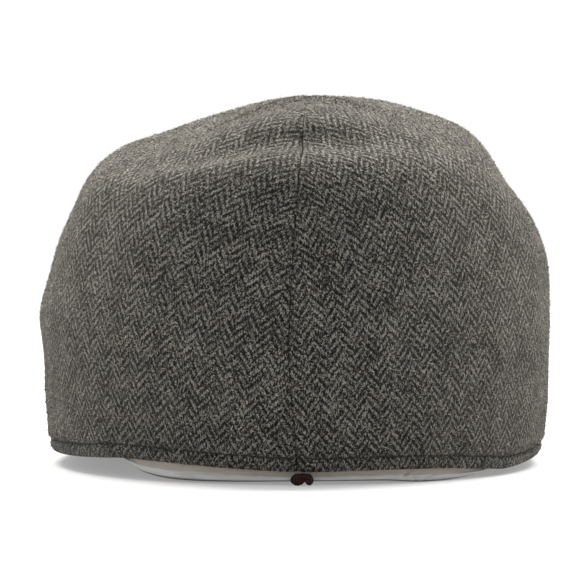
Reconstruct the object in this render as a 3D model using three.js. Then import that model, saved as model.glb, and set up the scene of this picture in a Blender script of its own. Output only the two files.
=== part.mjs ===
// Flat cap in herringbone wool: two crown halves joined by a centre seam, a peak under the front,
// a sweatband inside the hem and a small ribbon bow at the back of the band.
// Millimetres. +X is the wearer's right, +Y the front, +Z up. The cap rests on z = 0.
import * as THREE from 'three';
import { mergeVertices } from 'three/addons/utils/BufferGeometryUtils.js';

// Driving dimensions
const CLOTH = 2; // wall of the crown
const GAP = 0.3; // clearance between pieces that touch
const HEM = { halfWidth: 88, rear: 98, front: 150 }; // the crown's lower edge about the head's middle
const BAND = { thickness: 1.2, top: 32, least: 16, front: 102 }; // front: reach at the forehead
const POLE = { x: 4.5, y: -10, z: 129.9 }; // top of the crown, where all its sections meet
const PEAK = { thickness: 3.5, arch: 21, flatFrom: 72, overhang: 7 };
const PEAK_ENDS = { turn: 120, taper: 8, share: 0.45 }; // its two corners thin out over the last few degrees
const BOW = { width: 7.8, height: 4.1, depth: 2.6, x: 1.9 };
// Outline of the bow in shares of its half width and its height: notch under the knot, droop of the loops,
// height of their widest place, how far the top edge runs level, and the eye inside each loop.
const BOW_LOOP = { notch: 0.14, droopFrom: 0.3, droop: -0.08, widest: 0.4, shoulder: 0.9, level: 0.6 };
const BOW_EYE = { x: 0.54, z: 0.48, halfWidth: 0.31, halfHeight: 0.25 };
const MIDDLE_Y = 25.6; // from the head's middle to the middle of the whole cap

// Mesh fineness
const TURN_STEPS = 40; // across one crown half
const LEVEL_STEPS = 20; // from the hem to the pole
const PEAK_STEPS = 40;
const PEAK_ROWS = 6;
const BAND_STEPS = 90;
const BOW_STEPS = 8;
const WELD = 1e-4; // points closer than this are one
const NUDGE = { turn: 0.2, level: 0.01 }; // small steps that give the slope of a face

// The crown in eight directions from the pole. Turn 0 is the back, 90 the wearer's right, 180 the front.
// Each ring has its reach as a share of the hem's reach, and its height. Level counts from 0 at the hem
// through these rings to 5 at the pole.
const RINGS = ['bulge', 'upper', 'shoulder', 'crest'];
const POLE_LEVEL = RINGS.length + 1;
const CROWN = [
  { turn: -180, bulge: [0.95, 46], upper: [0.76, 80], shoulder: [0.5, 109], crest: [0.25, 126] },
  { turn: -135, bulge: [0.99, 41], upper: [0.88, 73], shoulder: [0.64, 104], crest: [0.34, 123.6] },
  { turn: -90, bulge: [1.01, 51], upper: [0.938, 81], shoulder: [0.725, 108.6], crest: [0.38, 122.5] },
  { turn: -45, bulge: [1.06, 48], upper: [1.005, 91], shoulder: [0.86, 104.5], crest: [0.54, 117.5] },
  { turn: 0, bulge: [1.09, 46], upper: [1.045, 98], shoulder: [0.885, 112], crest: [0.7, 124.5] },
  { turn: 45, bulge: [1.06, 48], upper: [1, 93.5], shoulder: [0.865, 111.5], crest: [0.53, 122] },
  { turn: 90, bulge: [1.02, 51], upper: [0.977, 81], shoulder: [0.71, 114.8], crest: [0.39, 126.9] },
  { turn: 135, bulge: [0.99, 41], upper: [0.88, 73], shoulder: [0.64, 105.5], crest: [0.34, 126.3] },
];

// Heights of the two lower edges round the back and sides: the crown's hem and the sweatband under it.
const EDGES = [
  { turn: -120, hem: 4.2, band: 6 },
  { turn: -90, hem: 4.8, band: 6.5 },
  { turn: -68, hem: 5.3, band: 7.5 },
  { turn: -53, hem: 6.1, band: 7.6 },
  { turn: -45, hem: 6.7, band: 6.2 },
  { turn: -38, hem: 7.1, band: 4.3 },
  { turn: -27, hem: 6.5, band: 1 },
  { turn: 0, hem: 4.5, band: 1.2 },
  { turn: 20, hem: 4.6, band: 1 },
  { turn: 30, hem: 4.1, band: 0 },
  { turn: 36, hem: 3.9, band: 0 },
  { turn: 44, hem: 2.4, band: 2 },
  { turn: 58, hem: 1.7, band: 5 },
  { turn: 74, hem: 3, band: 6 },
  { turn: 90, hem: 4, band: 6 },
  { turn: 120, hem: 4.2, band: 6 },
];

// Dents and swells of the soft cloth: where they are, how far they spread, how far they stand out.
const FOLDS = [
  { name: 'right shoulder dent', turn: 82, level: 2.5, turnSpread: 28, levelSpread: 0.24, out: -2.6 },
  { name: 'left shoulder ridge', turn: -80, level: 2.85, turnSpread: 26, levelSpread: 0.3, out: 1.2 },
  { name: 'left upper dent', turn: -84, level: 3.55, turnSpread: 30, levelSpread: 0.18, out: -0.5 },
  { name: 'left side swell', turn: -86, level: 1.05, turnSpread: 26, levelSpread: 0.2, out: 2.3 },
  { name: 'left tuck above the hem', turn: -88, level: 0.5, turnSpread: 24, levelSpread: 0.2, out: -1.5 },
  { name: 'rear ridge', turn: 0, level: 2.6, turnSpread: 36, levelSpread: 0.2, out: 0.6 },
  { name: 'hollow above the ridge', turn: -7, level: 3.12, turnSpread: 27, levelSpread: 0.22, out: -1.2 },
  { name: 'slack right of the seam', turn: 24, level: 0.9, turnSpread: 14, levelSpread: 0.5, out: -1.2 },
];
const FOLDS_FADE = { hem: 1, pole: 4.4 }; // levels between which the folds are at their full depth

// How far the seam wanders sideways at the back, ring by ring, and over what turn the cloth follows it.
const SEAM_DRIFT = [0.3, -2.3, 0.4, 2.2, 1.1, 0];
const SEAM_SPREAD = 40;

const MATERIALS = {
  wool: { color: 0x494844, roughness: 0.95, metalness: 0 },
  band: { color: 0xa9a5a1, roughness: 0.55, metalness: 0 },
  ribbon: { color: 0x33221c, roughness: 0.7, metalness: 0 },
};

const { degToRad, radToDeg, clamp, lerp, smoothstep, euclideanModulo } = THREE.MathUtils;

// Cubic between two values, with the given rise at each end of the span.
function hermite(s, start, end, startRise, endRise) {
  const bend = startRise + endRise - 2 * (end - start);
  return start + s * (startRise + s * (end - start - startRise - bend + s * bend));
}

// Smooth curve through evenly spaced knots. The first and last knots only steer the ends.
function through(knots, place) {
  const span = clamp(Math.floor(place), 0, knots.length - 4);
  const [before, start, end, after] = knots.slice(span, span + 4);
  return hermite(place - span, start, end, (end - before) / 2, (after - start) / 2);
}

// Smooth curve through the rows of a table, all the way round.
function around(rows, turn, value) {
  const count = rows.length;
  const at = rows[0].turn + euclideanModulo(turn - rows[0].turn, 360);
  const first = rows.findLastIndex((row) => row.turn <= at);
  const knots = [-1, 0, 1, 2].map((step) => {
    const lap = Math.floor((first + step) / count);
    const row = rows[euclideanModulo(first + step, count)];
    return { turn: row.turn + 360 * lap, value: value(row) };
  });
  const [before, start, end, after] = knots;
  const span = end.turn - start.turn;
  const startRise = (span * (end.value - before.value)) / (end.turn - before.turn);
  const endRise = (span * (after.value - start.value)) / (after.turn - start.turn);
  return hermite((at - start.turn) / span, start.value, end.value, startRise, endRise);
}

// A smooth bump of height 1 that fades over the given spread.
const bump = (offset, spread) => Math.exp(-0.5 * (offset / spread) ** 2);

// The shortest way round from one turn to another, in degrees.
const turnBetween = (from, to) => euclideanModulo(to - from + 180, 360) - 180;

const direction = (turn) => new THREE.Vector2(Math.sin(degToRad(turn)), -Math.cos(degToRad(turn)));

// Reach from the pole's axis to an oval made of two half ellipses that meet at the head's middle.
function ovalReach(turn, { halfWidth, rear, front }) {
  const way = direction(turn);
  const meetsFront = way.y * halfWidth > -POLE.y * Math.abs(way.x);
  const half = meetsFront ? front : rear;
  const a = (way.x / halfWidth) ** 2 + (way.y / half) ** 2;
  const b = (POLE.y * way.y) / half ** 2;
  const c = (POLE.y / half) ** 2 - 1;
  return (-b + Math.sqrt(b * b - a * c)) / a;
}

const peakTop = (x) => PEAK.thickness + PEAK.arch * Math.max(0, 1 - (x / PEAK.flatFrom) ** 2);

// In front of the peak's corners the crown's edge lies on the peak.
function hemHeight(turn, reach) {
  const free = around(EDGES, turn, (row) => row.hem);
  if (Math.abs(turnBetween(0, turn)) < PEAK_ENDS.turn) return free;
  return Math.max(free, peakTop(reach * direction(turn).x) + GAP);
}

// The crown's outer face before its folds.
function plainCrown(turn, level) {
  const hemReach = ovalReach(turn, HEM);
  const onRings = (column) => RINGS.map((ring) => around(CROWN, turn, (row) => row[ring][column]));
  const reach = [hemReach, ...onRings(0).map((share) => share * hemReach)];
  const height = [hemHeight(turn, hemReach), ...onRings(1)];
  const reachKnots = [2 * reach[0] - reach[1], ...reach, 0, -reach.at(-1)];
  const heightKnots = [2 * height[0] - height[1], ...height, POLE.z, height.at(-1)];
  const r = through(reachKnots, level);
  const lean = POLE.x * smoothstep(level, POLE_LEVEL - 2, POLE_LEVEL);
  const way = direction(turn);
  return new THREE.Vector3(way.x * r + lean, POLE.y + way.y * r, through(heightKnots, level));
}

// Unit normal of a surface given by turn and level, by small differences.
function normalOf(surface, turn, level) {
  if (level + NUDGE.level > POLE_LEVEL) return new THREE.Vector3(0, 0, 1);
  const along = surface(turn + NUDGE.turn, level).sub(surface(turn - NUDGE.turn, level));
  const up = surface(turn, level + NUDGE.level).sub(surface(turn, Math.max(0, level - NUDGE.level)));
  return along.cross(up).normalize();
}

function crownFace(turn, level) {
  const fades = smoothstep(level, 0, FOLDS_FADE.hem) * (1 - smoothstep(level, FOLDS_FADE.pole, POLE_LEVEL));
  const out = FOLDS.reduce((sum, fold) => {
    const across = bump(turnBetween(fold.turn, turn), fold.turnSpread);
    return sum + fold.out * across * bump(level - fold.level, fold.levelSpread);
  }, 0);
  const point = plainCrown(turn, level);
  return point.addScaledVector(normalOf(plainCrown, turn, level), out * fades);
}

// The turn at which a panel's own line lies, given that its edge follows the wandering seam.
function panelTurn(turn, level) {
  const drift = through([SEAM_DRIFT[0], ...SEAM_DRIFT, 0], level);
  const shift = Math.atan2(drift, ovalReach(0, HEM));
  return turn + radToDeg(shift) * bump(turn, SEAM_SPREAD);
}

// Adds a quad's two triangles, without those that have no area.
function addQuad(positions, a, b, c, d) {
  for (const [p, q, r] of [[a, b, c], [a, c, d]]) {
    const shortest = Math.min(p.distanceTo(q), q.distanceTo(r), r.distanceTo(p));
    if (shortest > WELD) positions.push(...p.toArray(), ...q.toArray(), ...r.toArray());
  }
}

function geometryFrom(positions) {
  const geometry = new THREE.BufferGeometry();
  geometry.setAttribute('position', new THREE.Float32BufferAttribute(positions, 3));
  return mergeVertices(geometry, WELD);
}

// A closed plate between two grids of points of the same size, seen from the side of the first one.
function closedPlate(front, back) {
  const positions = [];
  const lastRow = front.length - 1;
  const lastColumn = front[0].length - 1;
  for (let i = 0; i < lastRow; i++) {
    for (let j = 0; j < lastColumn; j++) {
      addQuad(positions, front[i][j], front[i][j + 1], front[i + 1][j + 1], front[i + 1][j]);
      addQuad(positions, back[i][j], back[i + 1][j], back[i + 1][j + 1], back[i][j + 1]);
    }
    addQuad(positions, front[i][0], front[i + 1][0], back[i + 1][0], back[i][0]);
    addQuad(positions, front[i + 1].at(-1), front[i].at(-1), back[i].at(-1), back[i + 1].at(-1));
  }
  for (let j = 0; j < lastColumn; j++) {
    addQuad(positions, front[0][j + 1], front[0][j], back[0][j], back[0][j + 1]);
    addQuad(positions, front[lastRow][j], front[lastRow][j + 1], back[lastRow][j + 1], back[lastRow][j]);
  }
  return geometryFrom(positions);
}

// A closed ring swept through sections, each a loop of points.
function closedRing(sections) {
  const positions = [];
  sections.forEach((section, i) => {
    const next = sections[(i + 1) % sections.length];
    section.forEach((point, j) => {
      const k = (j + 1) % section.length;
      addQuad(positions, point, next[j], next[k], section[k]);
    });
  });
  return geometryFrom(positions);
}

function named(name, geometry, look) {
  const mesh = new THREE.Mesh(geometry, new THREE.MeshStandardMaterial(look));
  mesh.name = name;
  return mesh;
}

// The inner face follows the outer one at the cloth's thickness. On the seam it stays in the seam's plane,
// and in front it stays above the peak.
function crownInside(turn, level) {
  const place = panelTurn(turn, level);
  const point = crownFace(place, level);
  const normal = normalOf(crownFace, place, level);
  if (turn % 180 === 0) normal.setX(0).normalize();
  const inner = point.clone().addScaledVector(normal, -CLOTH);
  if (level === 0) inner.z = point.z;
  if (level === 0 && Math.abs(turn) >= PEAK_ENDS.turn) inner.z = Math.max(point.z, peakTop(inner.x) + GAP);
  return inner;
}

function crownHalf(name, side) {
  const firstTurn = side < 0 ? -180 : 0;
  const turns = Array.from({ length: TURN_STEPS + 1 }, (_, j) => firstTurn + (180 * j) / TURN_STEPS);
  const aside = new THREE.Vector3((side * GAP) / 2, 0, 0);
  const outer = [];
  const inner = [];
  for (let i = 0; i <= LEVEL_STEPS; i++) {
    const level = (i / LEVEL_STEPS) * POLE_LEVEL;
    outer.push(turns.map((turn) => crownFace(panelTurn(turn, level), level).add(aside)));
    inner.push(turns.map((turn) => crownInside(turn, level).add(aside)));
  }
  return named(name, closedPlate(outer, inner), MATERIALS.wool);
}

// Outline of the sweatband's outer face: inside the cloth at the sides and back, round the forehead in front.
function bandReach(turn) {
  const inset = CLOTH + GAP;
  const oval = { halfWidth: HEM.halfWidth - inset, rear: HEM.rear - inset, front: BAND.front };
  return ovalReach(turn, oval);
}

const polar = (turn, reach, z) => {
  const way = direction(turn);
  return new THREE.Vector3(way.x * reach, POLE.y + way.y * reach, z);
};

function bandBottom(turn) {
  const free = Math.max(0, around(EDGES, turn, (row) => row.band));
  if (Math.abs(turn) < PEAK_ENDS.turn) return free;
  return Math.max(free, peakTop(bandReach(turn) * direction(turn).x) - PEAK.thickness);
}

function sweatband() {
  const sections = Array.from({ length: BAND_STEPS }, (_, i) => {
    const turn = (360 * i) / BAND_STEPS - 180;
    const reach = bandReach(turn);
    const bottom = bandBottom(turn);
    const top = Math.max(BAND.top, bottom + BAND.least);
    const heights = [bottom, (bottom + top) / 2, top];
    const outside = heights.map((z) => polar(turn, reach, z));
    const inside = heights.map((z) => polar(turn, reach - BAND.thickness, z)).reverse();
    return [...outside, ...inside];
  });
  return named('sweatband', closedRing(sections), MATERIALS.band);
}

// The peak is bent about a line from back to front, and its corners lie flat on the ground.
function peak() {
  const top = [];
  const bottom = [];
  for (let i = 0; i <= PEAK_ROWS; i++) {
    const across = i / PEAK_ROWS;
    const topRow = [];
    const bottomRow = [];
    for (let j = 0; j <= PEAK_STEPS; j++) {
      const turn = lerp(PEAK_ENDS.turn, 360 - PEAK_ENDS.turn, j / PEAK_STEPS);
      const fromEnd = 180 - PEAK_ENDS.turn - Math.abs(turn - 180);
      const overhang = PEAK.overhang * Math.sqrt(fromEnd / (180 - PEAK_ENDS.turn));
      const innerReach = bandReach(turn) + GAP;
      const outerReach = ovalReach(turn, HEM) + overhang;
      const point = polar(turn, lerp(outerReach, innerReach, across), 0);
      const thickness = PEAK.thickness * lerp(PEAK_ENDS.share, 1, smoothstep(fromEnd, 0, PEAK_ENDS.taper));
      topRow.push(point.clone().setZ(peakTop(point.x)));
      bottomRow.push(point.clone().setZ(peakTop(point.x) - thickness));
    }
    top.push(topRow);
    bottom.push(bottomRow);
  }
  return named('peak', closedPlate(top, bottom), MATERIALS.wool);
}

// The bow is a ribbon standing on edge: two loops that droop from the knot, with an eye in each.
function bow() {
  const { notch, droopFrom, droop, widest, shoulder, level } = BOW_LOOP;
  const tip = BOW.width / 2;
  const { height } = BOW;
  const shape = new THREE.Shape();
  shape.moveTo(0, height * notch);
  shape.bezierCurveTo(tip * droopFrom, height * droop, tip, height * droop, tip, height * widest);
  shape.bezierCurveTo(tip, height * shoulder, tip * level, height, 0, height);
  shape.bezierCurveTo(-tip * level, height, -tip, height * shoulder, -tip, height * widest);
  shape.bezierCurveTo(-tip, height * droop, -tip * droopFrom, height * droop, 0, height * notch);
  for (const side of [1, -1]) {
    const eye = new THREE.Path();
    const [halfWidth, halfHeight] = [tip * BOW_EYE.halfWidth, height * BOW_EYE.halfHeight];
    eye.absellipse(side * tip * BOW_EYE.x, height * BOW_EYE.z, halfWidth, halfHeight, 0, 2 * Math.PI);
    shape.holes.push(eye);
  }
  const ribbon = { depth: BOW.depth, bevelEnabled: false, curveSegments: BOW_STEPS };
  const mesh = named('sweatband_bow', new THREE.ExtrudeGeometry(shape, ribbon), MATERIALS.ribbon);
  mesh.rotation.x = Math.PI / 2;
  mesh.position.set(BOW.x, -HEM.rear + CLOTH, 0);
  return mesh;
}

const cap = new THREE.Group();
cap.position.y = -MIDDLE_Y;
cap.add(crownHalf('crown_left', -1), crownHalf('crown_right', 1), peak(), sweatband(), bow());

export default cap;
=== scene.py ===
# Looks of the flat cap: brushed herringbone wool laid over the crown's own surface, its hem, seam and
# stitches, the satin sweatband, the ribbon bow, and a plain bright studio.
import math

import bpy
import numpy as np
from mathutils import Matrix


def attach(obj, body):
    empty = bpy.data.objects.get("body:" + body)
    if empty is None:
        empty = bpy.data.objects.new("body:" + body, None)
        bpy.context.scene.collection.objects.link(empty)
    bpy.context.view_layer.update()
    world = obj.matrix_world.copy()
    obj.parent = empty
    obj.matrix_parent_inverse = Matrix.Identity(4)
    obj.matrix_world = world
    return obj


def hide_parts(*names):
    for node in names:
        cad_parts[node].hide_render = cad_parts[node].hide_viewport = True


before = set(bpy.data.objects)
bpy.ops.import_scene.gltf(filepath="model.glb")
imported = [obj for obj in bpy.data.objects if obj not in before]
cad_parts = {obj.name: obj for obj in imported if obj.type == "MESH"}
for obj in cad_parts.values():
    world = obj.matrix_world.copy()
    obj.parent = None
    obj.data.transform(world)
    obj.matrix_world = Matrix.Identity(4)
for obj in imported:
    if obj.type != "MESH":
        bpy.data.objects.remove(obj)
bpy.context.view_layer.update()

# Driving dimensions in millimetres, about the middle of the head. Turn 0 is the back, 90 the wearer's right.
MM = 0.001
MIDDLE_Y = 25.6
HEM = {"half_width": 88, "rear": 98, "front": 150}
BAND = {"inset": 2.3, "thickness": 1.2, "top": 32, "least": 16, "front": 102}
POLE = {"x": 4.5, "y": -10, "z": 129.9}
PEAK = {"thickness": 3.5, "arch": 21, "flat_from": 72, "overhang": 7, "gap": 0.3}
PEAK_ENDS = {"turn": 120, "taper": 8, "share": 0.45}
BOW = {"back": -96, "height": 4.05}

# The crown in eight directions from the pole: each ring's reach as a share of the hem's, and its height.
RINGS = ("bulge", "upper", "shoulder", "crest")
POLE_LEVEL = len(RINGS) + 1
CROWN = [
    dict(turn=-180, bulge=(0.95, 46), upper=(0.76, 80), shoulder=(0.5, 109), crest=(0.25, 126)),
    dict(turn=-135, bulge=(0.99, 41), upper=(0.88, 73), shoulder=(0.64, 104), crest=(0.34, 123.6)),
    dict(turn=-90, bulge=(1.01, 51), upper=(0.938, 81), shoulder=(0.725, 108.6), crest=(0.38, 122.5)),
    dict(turn=-45, bulge=(1.06, 48), upper=(1.005, 91), shoulder=(0.86, 104.5), crest=(0.54, 117.5)),
    dict(turn=0, bulge=(1.09, 46), upper=(1.045, 98), shoulder=(0.885, 112), crest=(0.7, 124.5)),
    dict(turn=45, bulge=(1.06, 48), upper=(1, 93.5), shoulder=(0.865, 111.5), crest=(0.53, 122)),
    dict(turn=90, bulge=(1.02, 51), upper=(0.977, 81), shoulder=(0.71, 114.8), crest=(0.39, 126.9)),
    dict(turn=135, bulge=(0.99, 41), upper=(0.88, 73), shoulder=(0.64, 105.5), crest=(0.34, 126.3)),
]
# Heights of the crown's hem and of the sweatband's lower edge round the back and sides.
EDGES = [
    dict(turn=-120, hem=4.2, band=6),
    dict(turn=-90, hem=4.8, band=6.5),
    dict(turn=-68, hem=5.3, band=7.5),
    dict(turn=-53, hem=6.1, band=7.6),
    dict(turn=-45, hem=6.7, band=7),
    dict(turn=-38, hem=6.6, band=2.6),
    dict(turn=-27, hem=5.9, band=0.8),
    dict(turn=0, hem=4, band=1.2),
    dict(turn=20, hem=4.3, band=1),
    dict(turn=30, hem=4.1, band=0),
    dict(turn=36, hem=3.9, band=0),
    dict(turn=44, hem=3.1, band=0.8),
    dict(turn=50, hem=2.6, band=2.1),
    dict(turn=58, hem=1.8, band=4.6),
    dict(turn=74, hem=3, band=6),
    dict(turn=90, hem=4, band=6),
    dict(turn=120, hem=4.2, band=6),
]
# Dents and swells of the soft cloth.
FOLDS = {
    "right shoulder dent": dict(turn=82, level=2.5, turn_spread=28, level_spread=0.24, out=-2.6),
    "left shoulder ridge": dict(turn=-80, level=2.85, turn_spread=26, level_spread=0.3, out=1.2),
    "left upper dent": dict(turn=-84, level=3.55, turn_spread=30, level_spread=0.18, out=-0.5),
    "left side swell": dict(turn=-86, level=1.05, turn_spread=26, level_spread=0.2, out=2.3),
    "left tuck above the hem": dict(turn=-88, level=0.5, turn_spread=24, level_spread=0.2, out=-1.5),
    "rear ridge": dict(turn=0, level=2.6, turn_spread=36, level_spread=0.2, out=0.6),
    "hollow above the ridge": dict(turn=-7, level=3.12, turn_spread=27, level_spread=0.22, out=-1.2),
    "slack right of the seam": dict(turn=24, level=0.9, turn_spread=14, level_spread=0.5, out=-1.2),
}
FOLDS_FADE = {"hem": 1, "pole": 4.4}
SEAM_DRIFT = (0.3, -2.3, 0.4, 2.2, 1.1, 0)
SEAM_SPREAD = 40
NUDGE = {"turn": 0.2, "level": 0.01}

# Fine shape of the cloth
CLOTH = 1.6  # thickness of the wall
INSIDE = (0, 0, 40)  # a point within the crown, to tell outward from inward
SEAM = {"gap": 0.27, "lap": 0.03, "depth": 1.0, "width": 1.1, "shallower": 0.7, "top_fade": (3, 4.6)}
HEM_TUCK = {"in": 1.7, "over": 8.0}
HEM_START = 0.017  # level at which the outer face starts above the rolled edge
STITCH = {
    "pitch": 2.7, "length": 2.45, "radius": 0.46, "sunk": 0.2, "groove": 1.0, "groove_width": 0.6,
    "rings": 5, "sides": 6, "last_ring": 0.92, "bluntness": 4, "ahead": 0.5, "turn_step": 0.1,
}
STITCH_HEIGHT = [
    dict(turn=-100, up=4.0),
    dict(turn=-40, up=5.0),
    dict(turn=0, up=5.0),
    dict(turn=100, up=4.0),
]
RIPPLE = {
    "waves": 14, "seed": 5, "longest": 46.0, "shortest": 17.0, "out": 0.26,
    "hem_fade": (2, 20), "top_fade": (3.1, 4.1),
}
# Fibres: how many on a panel, their sizes, how they stand and curl, and how their tones are drawn.
FUZZ = {
    "count": 50000, "seed": 11, "shortest": 0.5, "longest": 1.6, "thinnest": 0.06, "thickest": 0.17,
    "stray_share": 0.01, "stray_longer": 2.4, "flattest": 0.15, "steepest": 0.95, "droop": 0.45, "nap": 0.8,
    "curl": 0.5, "twist": 0.7, "waist": 0.7, "root_depth": 0.1,
    "tone_a": 0.4, "tone_b": 0.9, "tuft": 0.9, "own_share": 0.2,
}


# Curves and the crown's surface

def hermite(s, start, end, start_rise, end_rise):
    """Cubic between two values, with the given rise at each end of the span."""
    bend = start_rise + end_rise - 2 * (end - start)
    return start + s * (start_rise + s * (end - start - start_rise - bend + s * bend))


def through(knots, place):
    """Smooth curve through evenly spaced knots, one column of knots for each place."""
    span = np.clip(np.floor(place).astype(int), 0, len(knots) - 4)
    columns = np.arange(len(place))
    before, start, end, after = (knots[span + step, columns] for step in range(4))
    return hermite(place - span, start, end, (end - before) / 2, (after - start) / 2)


def around(rows, turn, value):
    """Smooth curve through the rows of a table, all the way round."""
    turns = np.array([row["turn"] for row in rows], float)
    values = np.array([value(row) for row in rows], float)
    count = len(rows)
    at = turns[0] + np.mod(turn - turns[0], 360)
    first = np.searchsorted(turns, at, side="right") - 1

    def knot(step):
        lap, index = np.divmod(first + step, count)
        return turns[index] + 360 * lap, values[index]

    (t0, v0), (t1, v1), (t2, v2), (t3, v3) = (knot(step) for step in (-1, 0, 1, 2))
    span = t2 - t1
    start_rise = span * (v2 - v0) / (t2 - t0)
    end_rise = span * (v3 - v1) / (t3 - t1)
    return hermite((at - t1) / span, v1, v2, start_rise, end_rise)


def smoothstep(x, low, high):
    s = np.clip((x - low) / (high - low), 0, 1)
    return s * s * (3 - 2 * s)


def bump(offset, spread):
    """A smooth bump of height 1."""
    return np.exp(-0.5 * (offset / spread) ** 2)


def turn_between(start, end):
    return np.mod(end - start + 180, 360) - 180


def direction(turn):
    angle = np.radians(turn)
    return np.stack([np.sin(angle), -np.cos(angle)], -1)


def oval_reach(turn, half_width, rear, front):
    """Reach from the pole's axis to an oval made of two half ellipses that meet at the head's middle."""
    way = direction(turn)
    meets_front = way[:, 1] * half_width > -POLE["y"] * np.abs(way[:, 0])
    half = np.where(meets_front, front, rear)
    a = (way[:, 0] / half_width) ** 2 + (way[:, 1] / half) ** 2
    b = POLE["y"] * way[:, 1] / half**2
    c = (POLE["y"] / half) ** 2 - 1
    return (-b + np.sqrt(b * b - a * c)) / a


def hem_reach(turn):
    return oval_reach(turn, **HEM)


def peak_top(x):
    return PEAK["thickness"] + PEAK["arch"] * np.maximum(0, 1 - (x / PEAK["flat_from"]) ** 2)


def hem_height(turn):
    free = around(EDGES, turn, lambda row: row["hem"])
    on_peak = peak_top(hem_reach(turn) * direction(turn)[:, 0]) + PEAK["gap"]
    return np.where(np.abs(turn_between(0, turn)) < PEAK_ENDS["turn"], free, np.maximum(free, on_peak))


def plain_crown(turn, level):
    """The crown's outer face before its folds."""
    at_hem = hem_reach(turn)
    reach = [at_hem] + [at_hem * around(CROWN, turn, lambda row: row[ring][0]) for ring in RINGS]
    height = [hem_height(turn)] + [around(CROWN, turn, lambda row: row[ring][1]) for ring in RINGS]
    top = np.full_like(at_hem, POLE["z"])
    r = through(np.array([2 * reach[0] - reach[1], *reach, 0 * at_hem, -reach[-1]]), level)
    z = through(np.array([2 * height[0] - height[1], *height, top, height[-1]]), level)
    lean = POLE["x"] * smoothstep(level, POLE_LEVEL - 2, POLE_LEVEL)
    way = direction(turn)
    return np.stack([way[:, 0] * r + lean, POLE["y"] + way[:, 1] * r, z], -1)


def unit(vectors):
    return vectors / np.linalg.norm(vectors, axis=-1, keepdims=True)


def normal_of(surface, turn, level):
    """Unit normals of a surface given by turn and level, by small differences."""
    low = np.maximum(0, np.minimum(level, POLE_LEVEL - 2 * NUDGE["level"]) - NUDGE["level"])
    along = surface(turn + NUDGE["turn"], low) - surface(turn - NUDGE["turn"], low)
    up = surface(turn, low + 2 * NUDGE["level"]) - surface(turn, low)
    normal = unit(np.cross(along, up))
    normal[level + NUDGE["level"] > POLE_LEVEL] = (0, 0, 1)
    return normal


def crown_face(turn, level):
    fades = smoothstep(level, 0, FOLDS_FADE["hem"]) * (1 - smoothstep(level, FOLDS_FADE["pole"], POLE_LEVEL))
    out = np.zeros_like(level)
    for fold in FOLDS.values():
        across = bump(turn_between(fold["turn"], turn), fold["turn_spread"])
        out += fold["out"] * across * bump(level - fold["level"], fold["level_spread"])
    return plain_crown(turn, level) + normal_of(plain_crown, turn, level) * (out * fades)[:, None]


def panel_turn(turn, level):
    """The turn at which a panel's own line lies, given that its edge follows the wandering seam."""
    knots = np.array([SEAM_DRIFT[0], *SEAM_DRIFT, 0], float)
    drift = through(np.repeat(knots[:, None], len(level), 1), level)
    return turn + np.degrees(np.arctan2(drift, hem_reach(np.zeros(1))[0])) * bump(turn, SEAM_SPREAD)


def ripples(points):
    """Small soft unevenness of the cloth, as a sum of seeded waves."""
    rng = np.random.default_rng(RIPPLE["seed"])
    total = np.zeros(len(points))
    for _ in range(RIPPLE["waves"]):
        length = rng.uniform(RIPPLE["shortest"], RIPPLE["longest"])
        way = unit(rng.normal(size=3))
        total += np.sin(points @ way * (2 * math.pi / length) + rng.uniform(0, 2 * math.pi))
    return total * RIPPLE["out"] / math.sqrt(RIPPLE["waves"] / 2)


def above_hem(turn, level):
    """How far a point of the crown is above the hem, measured up the cloth near the hem."""
    probe = np.full_like(level, HEM_START)
    rise = np.linalg.norm(plain_crown(turn, probe) - plain_crown(turn, 0 * probe), axis=1) / HEM_START
    return rise * level


def stitch_height(turn):
    return around(STITCH_HEIGHT, turn, lambda row: row["up"])


def outer_face(turn, level):
    """The finished outer face of a panel at its own turn and level, and its normals."""
    place = panel_turn(turn, level)
    points = crown_face(place, level)
    normal = normal_of(crown_face, place, level)
    up = above_hem(place, level)
    from_pole = np.linalg.norm(points[:, :2] - [POLE["x"], POLE["y"]], axis=1)
    from_seam = from_pole * np.abs(np.sin(np.radians(turn)))
    out = ripples(points) * smoothstep(up, *RIPPLE["hem_fade"])
    out *= 1 - smoothstep(level, *RIPPLE["top_fade"])
    seam_depth = SEAM["depth"] * (1 - SEAM["shallower"] * smoothstep(level, *SEAM["top_fade"]))
    out -= seam_depth * np.exp(-((from_seam / SEAM["width"]) ** 2))
    out -= STITCH["groove"] * bump(up - stitch_height(place), STITCH["groove_width"])
    out -= HEM_TUCK["in"] * np.clip(1 - up / HEM_TUCK["over"], 0, 1) ** 2
    return points + normal * out[:, None], normal


# Laying a panel of cloth flat, so that the weave keeps its size and is cut off at the seam

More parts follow.
